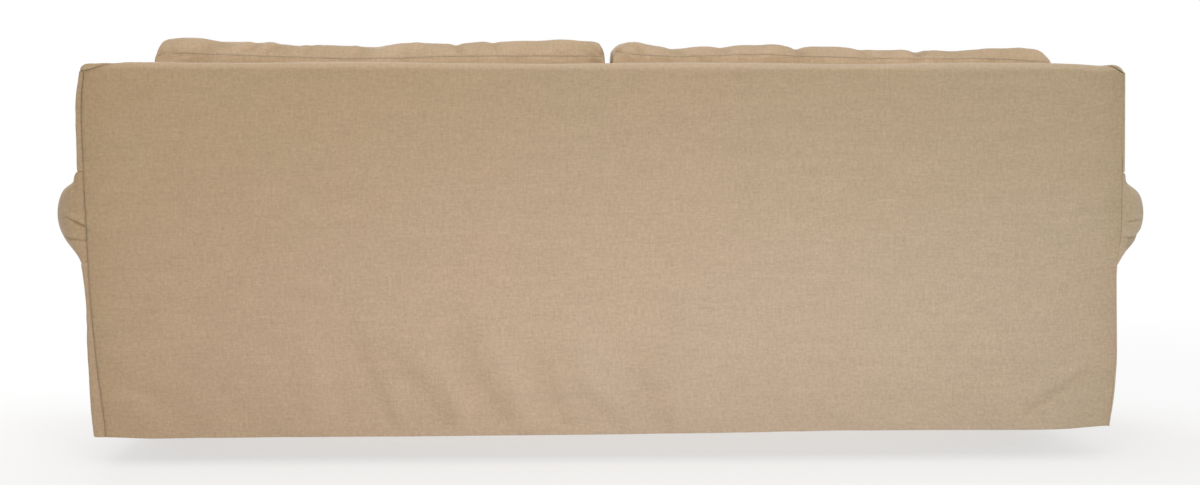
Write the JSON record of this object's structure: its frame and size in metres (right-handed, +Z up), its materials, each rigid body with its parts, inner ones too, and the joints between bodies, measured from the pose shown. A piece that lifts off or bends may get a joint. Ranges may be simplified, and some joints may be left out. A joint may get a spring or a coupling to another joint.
{
  "type": "sofa slipcover with cushions",
  "caption": "Fitted cloth cover for a rolled-arm sofa, hollow and open below, with its boxed seat and back cushions.",
  "frame": {"origin": "under the middle of the cover's top, where the sofa's back carries it", "axes": "+X towards the left side as seen from behind, -Y the front, +Z up"},
  "size_m": [2.465, 0.9901, 0.897],
  "materials": {
    "cover_cloth": "matt plain-weave linen blend",
    "cushion_cloth": "matt plain-weave linen blend"
  },
  "bodies": {
    "root": {"outside_back": "cover_cloth", "inside_back": "cover_cloth", "back_side_left": "cover_cloth", "back_side_right": "cover_cloth", "arm_left": "cover_cloth", "arm_right": "cover_cloth", "arm_rear_left": "cover_cloth", "arm_rear_right": "cover_cloth", "arm_outside_left": "cover_cloth", "arm_outside_right": "cover_cloth", "arm_front_left": "cover_cloth", "arm_front_right": "cover_cloth", "seat_deck": "cover_cloth", "front_border": "cover_cloth", "back_cushion_left": "cushion_cloth", "back_cushion_right": "cushion_cloth", "seat_cushion_left": "cushion_cloth", "seat_cushion_right": "cushion_cloth"}
  },
  "joints": []
}
